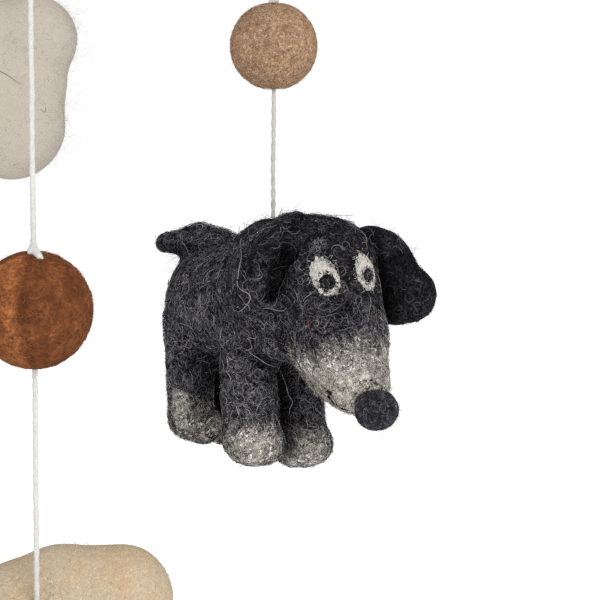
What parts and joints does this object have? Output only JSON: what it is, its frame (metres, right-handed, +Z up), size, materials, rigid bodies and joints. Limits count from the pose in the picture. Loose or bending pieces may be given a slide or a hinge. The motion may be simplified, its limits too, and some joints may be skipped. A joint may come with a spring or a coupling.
{
  "type": "felt mobile",
  "caption": "Felt mobile: a hanging felt dog with a bead ball, a rust ball strand ending in a cream felt body, and an off-white lobed felt body.",
  "frame": {"origin": "top of the dog strand's hanging loop, which holds the mobile's dog strand up", "axes": "+Z up along the hanging cords; +X to the right and -Y towards the viewer of the picture"},
  "size_m": [0.1569, 0.1572, 0.2232],
  "materials": {
    "charcoal_wool": "needle-felted charcoal wool with pale stray fibres, muzzle and paws blended to grey-beige",
    "black_wool": "firm dark wool felt",
    "eye_wool": "white wool felt patch",
    "beige_wool": "wet-felted tan wool with swirled fibres",
    "rust_wool": "wet-felted rust-brown wool",
    "cream_wool": "cream wool felt with warm patches",
    "pale_wool": "off-white wool felt",
    "cotton_cord": "twisted two-ply cotton cord"
  },
  "bodies": {
    "root": {"dog_body": "charcoal_wool", "dog_near_ear": "charcoal_wool", "dog_far_ear": "charcoal_wool", "dog_tail": "charcoal_wool", "dog_nose": "black_wool", "dog_right_eye_white": "eye_wool", "dog_left_eye_white": "eye_wool", "dog_right_pupil": "black_wool", "dog_left_pupil": "black_wool", "dog_cord": "cotton_cord", "dog_cord_loop": "cotton_cord", "beige_ball": "beige_wool", "beige_ball_knot": "cotton_cord", "rust_cord": "cotton_cord", "rust_cord_loop": "cotton_cord", "rust_ball": "rust_wool", "rust_ball_knot": "cotton_cord", "cream_body": "cream_wool", "pale_cord": "cotton_cord", "pale_cord_loop": "cotton_cord", "pale_body": "pale_wool"}
  },
  "joints": []
}
